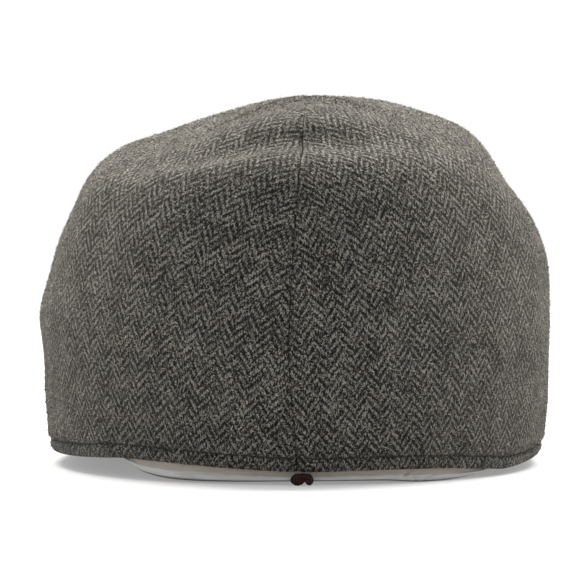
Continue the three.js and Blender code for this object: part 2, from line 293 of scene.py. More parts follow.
def lay_flat(points, triangles, start, rounds):
    """Flattens a triangle mesh with as little stretch as possible, from a start without folds."""
    first, second, third = (points[triangles[:, k]] for k in range(3))
    base = second - first
    side = third - first
    length = np.linalg.norm(base, axis=1)
    along = np.sum(side * base, axis=1) / length
    rest = np.zeros((len(triangles), 3, 2))
    rest[:, 1, 0] = length
    rest[:, 2, 0] = along
    rest[:, 2, 1] = np.sqrt(np.sum(side * side, axis=1) - along**2)
    count = len(points)
    stiff = np.zeros((count, count))
    edges = []
    for k in range(3):
        one, two, far = k, (k + 1) % 3, (k + 2) % 3
        a = rest[:, one] - rest[:, far]
        b = rest[:, two] - rest[:, far]
        weight = np.sum(a * b, axis=1) / (a[:, 0] * b[:, 1] - a[:, 1] * b[:, 0])
        i, j = triangles[:, one], triangles[:, two]
        edges.append((i, j, weight[:, None], rest[:, one] - rest[:, two]))
        for row, column, sign in ((i, i, 1), (j, j, 1), (i, j, -1), (j, i, -1)):
            np.add.at(stiff, (row, column), sign * weight)
    # The first point is held.
    stiff[0] = 0
    stiff[0, 0] = 1
    solve = np.linalg.inv(stiff)
    flat = start.copy()
    for _ in range(rounds):
        spread = sum(
            np.einsum("n,na,nb->nab", w[:, 0], flat[i] - flat[j], gap) for i, j, w, gap in edges
        )
        left, _, right = np.linalg.svd(spread)
        turned = left @ right
        mirrored = np.linalg.det(turned) < 0
        left[mirrored, :, 1] *= -1
        turned[mirrored] = left[mirrored] @ right[mirrored]
        pull = np.zeros_like(flat)
        for i, j, w, gap in edges:
            share = w * np.einsum("nab,nb->na", turned, gap)
            np.add.at(pull, i, share)
            np.add.at(pull, j, -share)
        pull[0] = flat[0]
        flat = solve @ pull
    return flat


def resample(grid, places):
    """Smooth values along the first axis of a grid at fractional places."""
    ghost = np.concatenate([2 * grid[:1] - grid[1:2], grid, 2 * grid[-1:] - grid[-2:-1]])
    columns = ghost.reshape(len(ghost), -1)
    out = [through(columns[:, [k]].repeat(len(places), 1), places) for k in range(columns.shape[1])]
    return np.stack(out, -1).reshape(len(places), *grid.shape[1:])


def cell_corners(grid):
    """The four corners of every cell of a grid, in order round it."""
    return grid[:-1, :-1], grid[:-1, 1:], grid[1:, 1:], grid[1:, :-1]


FLAT_GRID = {"turns": 37, "levels": 26, "sector": 0.8, "rounds": 80, "upright_to": 0.5}
GRAIN_LEAN = {-1: 12.5, 1: 1.5}  # degrees by which each panel's weave leans to the right of its seam


def panel_cloth(side, turns, levels):
    """Cloth coordinates in millimetres for a fine grid of one panel, by the grain of its weave."""
    coarse_turns = side * np.linspace(0, 180, FLAT_GRID["turns"])
    coarse_levels = np.linspace(0, POLE_LEVEL, FLAT_GRID["levels"])
    level, turn = np.meshgrid(coarse_levels, coarse_turns, indexing="ij")
    shape = level.shape
    points = crown_face(panel_turn(turn.ravel(), level.ravel()), level.ravel()).reshape(*shape, 3)
    steps = np.linalg.norm(np.diff(points, axis=0), axis=2)
    radius = np.concatenate([np.cumsum(steps[::-1], axis=0)[::-1], np.zeros((1, shape[1]))])
    start = direction(turn.ravel() * FLAT_GRID["sector"]).reshape(*shape, 2) * radius[..., None]
    index = np.arange(level.size).reshape(shape)
    index[-1] = index[-1, 0]
    a, b, c, d = cell_corners(index)
    if side < 0:
        a, b, c, d = b, a, d, c
    lower = np.stack([a, b, c], -1).reshape(-1, 3)
    upper = np.stack([a, c, d], -1).reshape(-1, 3)
    triangles = np.concatenate([lower, upper])
    distinct = (triangles[:, 0] != triangles[:, 1]) & (triangles[:, 1] != triangles[:, 2])
    triangles = triangles[distinct & (triangles[:, 2] != triangles[:, 0])]
    used, packed = np.unique(triangles, return_inverse=True)
    flat = lay_flat(
        points.reshape(-1, 3)[used], packed.reshape(-1, 3), start.reshape(-1, 2)[used], FLAT_GRID["rounds"]
    )
    whole = np.zeros((level.size, 2))
    whole[used] = flat
    whole = whole[index.ravel()].reshape(*shape, 2)
    upright = round(FLAT_GRID["upright_to"] / POLE_LEVEL * (FLAT_GRID["levels"] - 1))
    way = whole[upright, 0] - whole[0, 0]
    lean = math.atan2(way[0], way[1]) + math.radians(GRAIN_LEAN[side])
    turned = np.array([[math.cos(lean), -math.sin(lean)], [math.sin(lean), math.cos(lean)]])
    whole = (whole - whole[0, 0]) @ turned.T
    by_level = resample(whole, levels / POLE_LEVEL * (FLAT_GRID["levels"] - 1))
    by_turn = resample(by_level.transpose(1, 0, 2), np.abs(turns) / 180 * (FLAT_GRID["turns"] - 1))
    return by_turn.transpose(1, 0, 2)


# Making pieces

def in_frame(points):
    """Points in the part's own frame, in metres."""
    return (points - [0, MIDDLE_Y, 0]) * MM


def new_piece(name, points, faces, material, node=None, cloth=None):
    mesh = bpy.data.meshes.new(name)
    mesh.from_pydata(in_frame(points).tolist(), [], faces)
    if cloth is not None:
        layer = mesh.uv_layers.new(name="cloth")
        corners = np.empty(len(mesh.loops), int)
        mesh.loops.foreach_get("vertex_index", corners)
        layer.data.foreach_set("uv", (cloth[corners] * MM).astype(np.float32).ravel())
    mesh.materials.append(material)
    mesh.polygons.foreach_set("use_smooth", np.ones(len(mesh.polygons), bool))
    mesh.update()
    piece = bpy.data.objects.new(name, mesh)
    bpy.context.collection.objects.link(piece)
    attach(piece, "root")
    if node:
        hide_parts(node)
    return piece


def numbered(points):
    """Vertex numbers of a grid of points."""
    return np.arange(points.shape[0] * points.shape[1]).reshape(points.shape[:2])


def grid_faces(index, ring=False):
    """Quads of a grid of vertex numbers, or triangles where two corners are one."""
    if ring:
        index = np.concatenate([index, index[:, :1]], axis=1)
    quads = np.stack(cell_corners(index), -1).reshape(-1, 4)
    return [list(dict.fromkeys(quad)) for quad in quads.tolist()]


def end_faces(edge, forward):
    """Faces that close a shell's end, between the two halves of its edge."""
    half_way = len(edge) // 2
    strip = np.stack([edge[:half_way], edge[::-1][:half_way]], 1)
    return grid_faces(strip if forward else strip[:, ::-1])


# Columns and rows of points on a panel: turns close to the seam, then evenly to the side; levels close to the
# hem, then evenly to the pole. Even ones are given by their first, last and number.
NEAR_SEAM = (0, 0.12, 0.25, 0.4, 0.6, 0.9, 1.3, 1.9, 2.7, 3.8)
PANEL_GRID = {"even": (5, 90, 62), "low": (HEM_START, 0.26, 22), "high": (0.3, POLE_LEVEL, 116)}
ROLL_STEPS = 8


def crown_panel(name, side, material):
    """One half of the crown with its rolled hem; returns the points of its outer face."""
    half = np.concatenate([NEAR_SEAM, np.linspace(*PANEL_GRID["even"])])
    turns = side * np.concatenate([half, 180 - half[-2::-1]])
    levels = np.concatenate([np.linspace(*PANEL_GRID["low"]), np.linspace(*PANEL_GRID["high"])])
    level, turn = np.meshgrid(levels, turns, indexing="ij")
    shape = level.shape
    outer, normal = outer_face(turn.ravel(), level.ravel())
    outer = outer.reshape(*shape, 3)
    normal = normal.reshape(*shape, 3)
    wall = normal.copy()
    wall[:, [0, -1], 0] = 0
    inner = outer - unit(wall) * CLOTH
    inner[:, [0, -1], 0] -= side * SEAM["lap"]
    outer[:, [0, -1], 0] += side * SEAM["gap"] / 2
    cloth = panel_cloth(side, turns, levels)
    # The rolled edge of the hem: half a circle from the outer face to the inner one.
    down = unit(outer[0] - outer[1])
    roll = []
    for angle in np.linspace(0, math.pi, ROLL_STEPS)[1:-1]:
        middle = (outer[0] + inner[0]) / 2
        across = (outer[0] - inner[0]) / 2
        roll.append(middle + across * math.cos(angle) + down * (CLOTH / 2 * math.sin(angle)))
    points = np.concatenate([inner[::-1], np.array(roll)[::-1], outer])
    flat = np.concatenate([cloth[::-1], np.repeat(cloth[:1], len(roll), 0), cloth])
    index = numbered(points)
    index[0] = index[0, 0]
    index[-1] = index[-1, 0]
    faces = grid_faces(index if side > 0 else index[:, ::-1])
    faces += end_faces(index[:, 0], side > 0) + end_faces(index[:, -1], side < 0)
    used, packed = np.unique(np.concatenate(faces), return_inverse=True)
    cuts = np.cumsum([len(face) for face in faces])[:-1]
    faces = [part.tolist() for part in np.split(packed, cuts)]
    new_piece(name, points.reshape(-1, 3)[used], faces, material, name, flat.reshape(-1, 2)[used])
    return outer


# Materials

class Field:
    """A shader value that can be reckoned with like a number."""

    def __init__(self, tree, socket):
        self.tree = tree
        self.socket = socket

    def math(self, operation, *others):
        node = self.tree.nodes.new("ShaderNodeMath")
        node.operation = operation
        for socket, value in zip(node.inputs, (self, *others)):
            plug(self.tree, socket, value)
        return Field(self.tree, node.outputs[0])

    def __add__(self, other):
        return self.math("ADD", other)

    def __sub__(self, other):
        return self.math("SUBTRACT", other)

    def __mul__(self, other):
        return self.math("MULTIPLY", other)

    def __truediv__(self, other):
        return self.math("DIVIDE", other)

    def floor(self):
        return self.math("FLOOR")

    def fract(self):
        return self.math("FRACT")

    def sine(self):
        return self.math("SINE")

    def ramp(self, low, high, start=0.0, end=1.0):
        """Goes smoothly from start to end as the value goes from low to high."""
        node = self.tree.nodes.new("ShaderNodeMapRange")
        node.interpolation_type = "SMOOTHSTEP"
        for socket, value in zip(node.inputs, (self, low, high, start, end)):
            plug(self.tree, socket, value)
        return Field(self.tree, node.outputs[0])


def plug(tree, socket, value):
    if isinstance(value, Field):
        tree.links.new(value.socket, socket)
    else:
        socket.default_value = value


def combine(tree, x, y, z=0.0):
    node = tree.nodes.new("ShaderNodeCombineXYZ")
    for socket, value in zip(node.inputs, (x, y, z)):
        plug(tree, socket, value)
    return Field(tree, node.outputs[0])


NOISE_MIDDLE = 0.5


def noise(tree, vector, scale, detail=2.0, roughness=0.5):
    node = tree.nodes.new("ShaderNodeTexNoise")
    for name, value in (("Vector", vector), ("Scale", scale), ("Detail", detail), ("Roughness", roughness)):
        plug(tree, node.inputs[name], value)
    return Field(tree, node.outputs["Fac"])


def stretched(tree, cells, across, up, apart=0.0, detail=1.0, roughness=0.5):
    """Noise with its own number of cells across and up."""
    place = combine(tree, across * cells[0], up * cells[1], apart)
    return noise(tree, place, 1.0, detail, roughness)


def chance(tree, x, y):
    """A random value from 0 to 1 for each pair of whole numbers."""
    node = tree.nodes.new("ShaderNodeTexWhiteNoise")
    node.noise_dimensions = "2D"
    plug(tree, node.inputs["Vector"], combine(tree, x, y))
    return Field(tree, node.outputs["Value"])


MIX_COLOURS = {"one": 6, "two": 7, "blend": 2}  # numbers of the node's colour sockets


def mix(tree, share, one, two):
    """Blend of two colours."""
    node = tree.nodes.new("ShaderNodeMix")
    node.data_type = "RGBA"
    plug(tree, node.inputs[0], share)
    for socket, colour in (("one", one), ("two", two)):
        plug(tree, node.inputs[MIX_COLOURS[socket]], colour if isinstance(colour, Field) else (*colour, 1.0))
    return Field(tree, node.outputs[MIX_COLOURS["blend"]])


def new_material(name, **sockets):
    material = bpy.data.materials.new(name)
    material.use_nodes = True
    shader = material.node_tree.nodes["Principled BSDF"]
    for socket, value in sockets.items():
        shader.inputs[socket.replace("_", " ")].default_value = value
    return material, material.node_tree, shader


def cloth_place(tree):
    """Cloth coordinates in millimetres."""
    source = tree.nodes.new("ShaderNodeUVMap")
    source.uv_map = "cloth"
    split = tree.nodes.new("ShaderNodeSeparateXYZ")
    tree.links.new(source.outputs[0], split.inputs[0])
    return Field(tree, split.outputs[0]) / MM, Field(tree, split.outputs[1]) / MM


def set_bump(tree, shader, height, distance, strength=1.0):
    node = tree.nodes.new("ShaderNodeBump")
    node.inputs["Strength"].default_value = strength
    node.inputs["Distance"].default_value = distance
    tree.links.new(height.socket, node.inputs["Height"])
    tree.links.new(node.outputs[0], shader.inputs["Normal"])


WEAVE = {"end": 0.675, "pick": 0.82, "ends_a_column": 6, "picks_a_repeat": 4, "odd_start": 3.0}
STROKE = (0.63, 0.77)  # direction of the yarn strokes: across and up the cloth
WOOL_DARK = (0.003, 0.003, 0.0029)
WOOL_LIGHT = (0.168, 0.165, 0.149)
WOOL_SPECK = (0.085, 0.05, 0.037)
# Share of each layer in the wool's tone.
WOOL_TONE = {
    "middle": 0.345, "weave": 0.39, "float": 0.15, "fleck": 0.25, "grain": 1.1, "yarn": 0.2, "slub": 1.0,
    "dash": 1.7, "salt": 1.0, "cloud": 0.8, "power": 2.1,
}
# Cells of each layer in a millimetre, across and up the cloth where there are two. Those of the flecks are
# across and along the strokes.
WOOL_CELLS = {
    "fleck": (1.6, 0.5), "slub": (0.5, 2.0), "dash": (2.8, 1.0), "speck": (0.9, 0.5),
    "grain": 2.1, "yarn": 0.22, "cloud": 0.1,
}
WOOL_APART = {"column": 7.7, "yarn": 7.3}  # steps in the noise from one column or yarn to the next
WOOL_SPECKS = {"over": (0.7, 0.78), "share": 0.5}
WOOL_RELIEF = {"weave": 0.25, "dash": 1.6, "grain": 1.2, "metres": 0.0004, "strength": 0.8}
SALT = (0.31, 0.5)  # size of the finest specks, across and up
WANDER = {"far": 0.4, "across": 0.5, "up": 0.45}  # how far the yarns stray, and cells of that in a millimetre


def wool_material(name):
    """Herringbone of light ends over dark picks, two over and two under, turned about at each column."""
    material, tree, shader = new_material(
        name, Roughness=0.95, Specular_IOR_Level=0.12, Sheen_Weight=0.08, Sheen_Roughness=0.5,
        Sheen_Tint=(0.95, 0.84, 0.74, 1.0),
    )
    u, v = cloth_place(tree)
    plain = combine(tree, u, v)
    crossed = combine(tree, v, u)
    u = u + (noise(tree, plain, WANDER["across"]) - NOISE_MIDDLE) * WANDER["far"]
    v = v + (noise(tree, crossed, WANDER["up"]) - NOISE_MIDDLE) * WANDER["far"]
    end = u / WEAVE["end"]
    end_number = end.floor()
    column = (end_number / WEAVE["ends_a_column"]).floor()
    odd = column.math("FLOORED_MODULO", 2.0)
    end_in_column = end_number - column * WEAVE["ends_a_column"]
    lean = odd * -2.0 + 1.0  # 1 in even columns, -1 in odd ones
    cycle = v / WEAVE["pick"] + lean * end_in_column + odd * WEAVE["odd_start"]
    over = (cycle * (2 * math.pi / WEAVE["picks_a_repeat"])).sine()
    end_round = (end.fract() * math.pi).sine()
    along = v * STROKE[1] - lean * u * STROKE[0]
    across = v * STROKE[0] + lean * u * STROKE[1]
    own_column = column * WOOL_APART["column"]
    own_yarn = combine(tree, end_number * WOOL_APART["yarn"], v * WOOL_CELLS["yarn"])
    layers = {
        "float": chance(tree, end_number, (cycle / WEAVE["picks_a_repeat"]).floor()),
        "fleck": stretched(tree, WOOL_CELLS["fleck"], across, along, own_column, detail=2.0, roughness=0.65),
        "grain": noise(tree, plain, WOOL_CELLS["grain"], detail=1.0, roughness=0.7),
        "yarn": noise(tree, own_yarn, 1.0, detail=1.0),
        "slub": stretched(tree, WOOL_CELLS["slub"], u, v),
        "dash": stretched(tree, WOOL_CELLS["dash"], u, v),
        "salt": chance(tree, (u / SALT[0]).floor(), (v / SALT[1]).floor()),
        "cloud": noise(tree, plain, WOOL_CELLS["cloud"], detail=3.0),
    }
    tone = over * WOOL_TONE["weave"] + WOOL_TONE["middle"]
    for layer, field in layers.items():
        tone = tone + (field - NOISE_MIDDLE) * WOOL_TONE[layer]
    light_share = tone.math("MAXIMUM", 0.0).math("MINIMUM", 1.0).math("POWER", WOOL_TONE["power"])
    ground = mix(tree, light_share, WOOL_DARK, WOOL_LIGHT)
    specks = stretched(tree, WOOL_CELLS["speck"], u, v).ramp(*WOOL_SPECKS["over"])
    speckled = mix(tree, specks * WOOL_SPECKS["share"], ground, WOOL_SPECK)
    plug(tree, shader.inputs["Base Color"], speckled)
    height = over * (end_round * WOOL_RELIEF["weave"] + WOOL_RELIEF["weave"])
    for layer in ("dash", "grain"):
        height = height + layers[layer] * WOOL_RELIEF[layer]
    set_bump(tree, shader, height, WOOL_RELIEF["metres"], WOOL_RELIEF["strength"])
    return material


FIBRE_DARK = (0.004, 0.004, 0.0038)
FIBRE_LIGHT = (0.32, 0.281, 0.226)


def fuzz_material(name):
    """Fibres between dark and light, each with its own tone along the first cloth coordinate."""
    material, tree, shader = new_material(
        name, Roughness=1.0, Specular_IOR_Level=0.1, Sheen_Weight=0.2, Sheen_Roughness=0.5,
    )
    tone, _ = cloth_place(tree)
    colour = mix(tree, tone, FIBRE_DARK, FIBRE_LIGHT)
    plug(tree, shader.inputs["Base Color"], colour)
    return material


THREAD = {"dark": (0.004, 0.004, 0.004), "light": (0.018, 0.0175, 0.017), "cells": 1800.0, "relief": 0.0002}


def thread_material(name):
    material, tree, shader = new_material(name, Roughness=0.8, Specular_IOR_Level=0.3)
    place = tree.nodes.new("ShaderNodeTexCoord")
    twist = noise(tree, Field(tree, place.outputs["Object"]), THREAD["cells"], detail=1.0)
    colour = mix(tree, twist, THREAD["dark"], THREAD["light"])
    plug(tree, shader.inputs["Base Color"], colour)
    set_bump(tree, shader, twist, THREAD["relief"])
    return material


BAND_GREY = (0.39, 0.397, 0.386)
BAND_TAUPE = (0.325, 0.285, 0.241)
# Painted shade: the colour of the darker streaks along the band.
BAND_STREAK_SHADE = (0.12, 0.115, 0.11)
# The lower edge's own dark colour, with painted contact shadow under the band.
BAND_EDGE_AND_SHADOW = (0.022, 0.022, 0.023)
# The band's tones change with the share of the way from its lower edge up to the hem. Cells are counted in a
# millimetre along it and in one share up.
BAND_LOOK = {
    "taupe_over": (0.5, 0.66), "wander": 0.35, "wander_cells": 0.15,
    "edge_over": (0.05, 0.2), "edge_share": 0.95,
    "streak_cells": (0.12, 9.0), "streak_over": (0.25, 0.8), "streak_share": 0.4,
    "weave_cells": (3.0, 14.0), "relief": 0.0001, "relief_strength": 0.5,
}


def band_material(name):
    """Satin: a taupe strip under the hem, cooler grey below it, painted shade in streaks, and a dark lower
    edge of its own colour and painted contact shadow.
    """
    material, tree, shader = new_material(
        name, Roughness=0.5, Specular_IOR_Level=0.4, Sheen_Weight=0.2, Sheen_Roughness=0.4,
    )
    look = BAND_LOOK
    u, v = cloth_place(tree)
    wander = noise(tree, combine(tree, u * look["wander_cells"], 0.0), 1.0) - NOISE_MIDDLE
    taupe_share = (v + wander * look["wander"]).ramp(*look["taupe_over"])
    colour = mix(tree, taupe_share, BAND_GREY, BAND_TAUPE)
    # Streaks of painted shade along the band.
    streaks = stretched(tree, look["streak_cells"], u, v, detail=2.0)
    streak_share = streaks.ramp(*look["streak_over"], 0.0, look["streak_share"])
    shaded = mix(tree, streak_share, colour, BAND_STREAK_SHADE)
    # Dark lower edge: partly its own colour, partly painted contact shadow.
    edged = mix(tree, v.ramp(*look["edge_over"], look["edge_share"], 0.0), shaded, BAND_EDGE_AND_SHADOW)
    plug(tree, shader.inputs["Base Color"], edged)
    weave = stretched(tree, look["weave_cells"], u, v, detail=2.0)
    set_bump(tree, shader, weave, look["relief"], look["relief_strength"])
    return material


# The ribs' lighter colour is a painted highlight on their crests, in uneven patches.
RIBBON = {
    "dark": (0.006, 0.0028, 0.0021), "light": (0.05, 0.021, 0.014), "rib": 0.95, "relief": 0.0002,
    "glint_cells": 1.5, "glint_over": (0.2, 0.8),
}


def ribbon_material(name):
    """Dark brown ribbon with ribs across it, their crests lighter in uneven patches: a painted highlight."""
    material, tree, shader = new_material(name, Roughness=0.75, Specular_IOR_Level=0.12)
    u, v = cloth_place(tree)
    ribs = ((u * (2 * math.pi / RIBBON["rib"])).sine() + 1.0) * 0.5
    glints = noise(tree, combine(tree, u, v), RIBBON["glint_cells"])
    # Painted highlight on the ribs' crests, broken into patches.
    light_share = ribs * glints.ramp(*RIBBON["glint_over"])
    colour = mix(tree, light_share, RIBBON["dark"], RIBBON["light"])
    plug(tree, shader.inputs["Base Color"], colour)
    set_bump(tree, shader, ribs, RIBBON["relief"])
    return material


FLOOR = {"reach": 6.0, "dark": (0.4, 0.4, 0.4), "light": (0.42, 0.42, 0.42), "cells": 40.0}
# Painted light: the floor's own glow, weaker near the cap and stronger far from it.
FLOOR_GLOW = {"over": (0.35, 1.3), "strength": (0.29, 0.6)}  # metres from the middle, and strength there


def floor_material(name):
    """Plain white paper that glows by itself, which is painted light: weaker near the cap, stronger far off,
    so it looks lit evenly far from the cap.
    """
    material, tree, shader = new_material(
        name, Roughness=0.8, Specular_IOR_Level=0.1, Emission_Color=(1.0, 1.0, 1.0, 1.0),
    )
    place = tree.nodes.new("ShaderNodeTexCoord")
    grain = noise(tree, Field(tree, place.outputs["Object"]), FLOOR["cells"])
    colour = mix(tree, grain, FLOOR["dark"], FLOOR["light"])
    plug(tree, shader.inputs["Base Color"], colour)
    away = tree.nodes.new("ShaderNodeVectorMath")
    away.operation = "LENGTH"
    tree.links.new(place.outputs["Object"], away.inputs[0])
    away = Field(tree, away.outputs["Value"])
    glow = away.ramp(*FLOOR_GLOW["over"], *FLOOR_GLOW["strength"])
    plug(tree, shader.inputs["Emission Strength"], glow)
    return material


# The small pieces

def fuzz_piece(name, grid, material, seed):
    """Loose fibres that stand on the crown's outer face, each a thin tapered ribbon."""
    rng = np.random.default_rng(seed)
    count = FUZZ["count"]
    a, b, c, d = cell_corners(grid)
    areas = np.linalg.norm(np.cross(c - a, d - b), axis=2).ravel() / 2
    cell = rng.choice(len(areas), count, p=areas / areas.sum())
    s, t = rng.uniform(size=(2, count, 1))
    a, b, c, d = (corner.reshape(-1, 3)[cell] for corner in (a, b, c, d))
    root = (a * (1 - s) + b * s) * (1 - t) + (d * (1 - s) + c * s) * t
    outward = unit(np.cross(c - a, d - b))
    outward *= np.sign(np.sum(outward * (root - INSIDE), axis=1, keepdims=True))
    tangent = unit(unit(a - d) * FUZZ["nap"] + np.cross(outward, rng.normal(size=root.shape)))
    rise = rng.uniform(FUZZ["flattest"], FUZZ["steepest"], size=(count, 1))
    length = rng.uniform(FUZZ["shortest"], FUZZ["longest"], size=(count, 1))
    stray = rng.uniform(size=(count, 1)) < FUZZ["stray_share"]
    length = np.where(stray, length * FUZZ["stray_longer"], length)
    bend = np.cross(outward, tangent) * rng.normal(size=(count, 1)) * FUZZ["curl"]
    middle = root + unit(tangent + outward * rise) * length / 2
    tip = middle + unit(tangent + bend + outward * (rise - FUZZ["droop"])) * length / 2
    half_width = rng.uniform(FUZZ["thinnest"], FUZZ["thickest"], size=(count, 1))
    across = unit(np.cross(tip - root, outward + FUZZ["twist"] * bend))
    width = across * np.where(stray, FUZZ["thinnest"], half_width)
    waist = width * FUZZ["waist"]
    root = root - outward * FUZZ["root_depth"]
    points = np.stack([root - width, root + width, middle - waist, middle + waist, tip], 1)
    base = points.shape[1] * np.arange(count)[:, None]
    quads = (base + [0, 1, 3, 2]).tolist()
    tips = (base + [2, 3, 4]).tolist()
    _, tuft = np.unique(np.floor(root / FUZZ["tuft"]), axis=0, return_inverse=True)
    own, shared = rng.beta(FUZZ["tone_a"], FUZZ["tone_b"], size=(2, count))
    tone = own * FUZZ["own_share"] + shared[tuft.ravel()] * (1 - FUZZ["own_share"])
    cloth = np.repeat(np.stack([tone, 0 * tone], -1), points.shape[1], axis=0)
    new_piece(name, points.reshape(-1, 3), quads + tips, material, None, cloth)


def length_along(path):
    """Distance along a line of points, at each of them."""
    return np.concatenate([[0], np.cumsum(np.linalg.norm(np.diff(path, axis=0), axis=1))])


def bead_faces(rounds, sides):
    """A closed bead's faces: rings between two end points."""
    index = np.arange(rounds * sides).reshape(rounds, sides)
    faces = grid_faces(index, ring=True)
    first, last = rounds * sides, rounds * sides + 1
    for j in range(sides):
        k = (j + 1) % sides
        faces.append([first, int(index[0, k]), int(index[0, j])])
        faces.append([last, int(index[-1, j]), int(index[-1, k])])
    return faces


def hem_stitches(name, material):
    """A row of short stitches round the hem, each a small capsule sunk into its groove."""
    step = STITCH["turn_step"]
    turns = np.arange(step - 180, 180 - step / 2, step)
    rise = above_hem(turns, np.ones_like(turns))
    path, normal = outer_face(turns, stitch_height(turns) / rise)
    along = length_along(path)
    rings, sides = STITCH["rings"], STITCH["sides"]
    places = np.linspace(-STITCH["last_ring"], STITCH["last_ring"], rings)
    faces = bead_faces(rings, sides)
    points = []
    every_face = []

    def read(line, mark):
        """A line's value at a distance along the row."""
        return np.array([np.interp(mark, along, line[:, k]) for k in range(3)])

    for mark in np.arange(STITCH["pitch"] / 2, along[-1], STITCH["pitch"]):
        at = read(path, mark)
        out = unit(read(normal, mark))
        way = unit(read(path, mark + STITCH["ahead"]) - at)
        up = np.cross(out, way)
        half = way * STITCH["length"] / 2
        base = len(points)
        for place in places:
            radius = STITCH["radius"] * math.sqrt(1 - place ** STITCH["bluntness"])
            for side in range(sides):
                angle = 2 * math.pi * side / sides
                ring = up * math.cos(angle) + out * math.sin(angle)
                points.append(at + half * place + ring * radius)
        points.append(at - half - out * STITCH["sunk"])
        points.append(at + half - out * STITCH["sunk"])
        every_face += [[base + i for i in face] for face in faces]
    new_piece(name, np.array(points), every_face, material, None)


def polar_points(turn, reach, z):
    way = direction(turn)
    return np.stack([way[:, 0] * reach, POLE["y"] + way[:, 1] * reach, z + 0 * turn], -1)


def band_reach(turn):
    inset = BAND["inset"]
    return oval_reach(turn, HEM["half_width"] - inset, HEM["rear"] - inset, BAND["front"])


def band_bottom(turn):
    free = np.maximum(0, around(EDGES, turn, lambda row: row["band"]))
    over_peak = peak_top(band_reach(turn) * direction(turn)[:, 0]) - PEAK["thickness"]
    return np.where(np.abs(turn) < PEAK_ENDS["turn"], free, np.maximum(free, over_peak))


# Section of the sweatband's outer face below the hem: share of the way from its lower edge up to the hem,
# and how far it stands in from the plain face.
BAND_SECTION = [
    dict(share=0.0, back=1.75),
    dict(share=0.05, back=1.35),
    dict(share=0.16, back=1.1),
    dict(share=0.32, back=0.98),
    dict(share=0.46, back=1.0),
    dict(share=0.56, back=1.25),
    dict(share=0.62, back=1.45),
    dict(share=0.8, back=1.5),
    dict(share=1.0, back=1.7),
]
# The same above the hem: height over the hem, and how far it stands in.
BAND_ABOVE = [
    dict(up=3.0, back=0.9),
    dict(up=6.0, back=0.25),
    dict(up=8.5, back=0.0),
]
# Creases at the band's right end: place, share of the way up where each is deepest, slant, width and depth.
BAND_CREASES = [
    dict(x=37.5, share=0.75, lean=5.0, width=0.55, deep=0.9),
    dict(x=39.5, share=0.35, lean=-3.0, width=0.5, deep=0.8),
    dict(x=44.5, share=0.3, lean=7.0, width=0.6, deep=0.9),
]
CREASE_SPREAD = 0.25  # in shares of the way up
BAND_GRID = {"fine_to": 62, "fine": 0.3, "coarse": 1.5}  # turns
BAND_FORM = {"least_drop": 0.4, "front_fade": (-6, 10), "below_top": 2, "rounding": 0.3, "inner_up": 0.05}
# Cloth coordinate above the hem: millimetres in one share, and what the top and its edge are given.
BAND_SHARES = {"rise": 4, "top": 5.0, "edge": 5.2}


def sweatband_piece(name, material):
    """The band as one closed ring: outer face, rounded top edge and inner face."""
    fine_to, coarse = BAND_GRID["fine_to"], BAND_GRID["coarse"]
    fine_turns = np.arange(-fine_to, fine_to, BAND_GRID["fine"])
    turns = np.concatenate([np.arange(-180, -fine_to, coarse), fine_turns, np.arange(fine_to, 180, coarse)])
    bottom = band_bottom(turns)
    hem = np.maximum(hem_height(turns), bottom + BAND_FORM["least_drop"])
    top = np.maximum(BAND["top"], bottom + BAND["least"])
    reach = band_reach(turns)
    way = direction(turns)
    behind = smoothstep(PEAK_ENDS["turn"] - np.abs(turns), *BAND_FORM["front_fade"])
    rows = []
    for row in BAND_SECTION:
        z = bottom + (hem - bottom) * row["share"]
        back = row["back"] * behind
        for crease in BAND_CREASES:
            up = row["share"] - crease["share"]
            across = bump(way[:, 0] * reach - crease["x"] - up * crease["lean"], crease["width"])
            back = back + crease["deep"] * across * bump(up, CREASE_SPREAD) * behind
        rows.append((z, back, row["share"]))
    for row in BAND_ABOVE:
        z = np.minimum(hem + row["up"], top - BAND_FORM["below_top"])
        rows.append((z, row["back"] * behind, 1.0 + row["up"] / BAND_SHARES["rise"]))
    rows.append((top - BAND_FORM["rounding"], 0.0 * top, BAND_SHARES["top"]))
    outside = [polar_points(turns, reach - back, z) for z, back, _ in rows]
    inside = []
    for z, back, _ in rows:
        inside.append(polar_points(turns, reach - back - BAND["thickness"], z + BAND_FORM["inner_up"]))
    edge = [polar_points(turns, reach - rows[-1][1] - BAND["thickness"] / 2, top)]
    points = np.array(outside + edge + inside[::-1])
    middle = outside[len(BAND_SECTION) // 2]
    length = length_along(middle)
    shares = [share for _, _, share in rows]
    all_shares = shares + [BAND_SHARES["edge"]] + shares[::-1]
    cloth = np.array([np.stack([length, np.full_like(length, share)], -1) for share in all_shares])
    index = numbered(points)
    faces = grid_faces(np.concatenate([index, index[:1]]), ring=True)
    new_piece(name, points.reshape(-1, 3), faces, material, name, cloth.reshape(-1, 2))


# The bow's two loops, each a folded ribbon from the knot to its tip: how far they run from the knot, how far
# they droop, their half height where they are fullest and their depth.
BOW_LOOPS = [
    dict(run=-4.8, droop=-0.75, full=2.2, deep=1.3),
    dict(run=2.9, droop=-0.85, full=2.05, deep=1.15),
]
BOW_KNOT = {"x": 2.75, "z": 2.7, "half_height": 1.9, "half_width": 1.1, "depth": 1.45, "lean": -0.6}
BOW_FORM = {
    "stations": 18, "sides": 20, "start": 0.02, "short_of": 0.06, "least_full": 0.55, "swell": 0.8, "tip": 6,
    "pleats": 6, "pleat": 0.3, "lowest": 0.05, "knot_rings": 9, "knot_end": 0.97, "bluntness": 4,
}


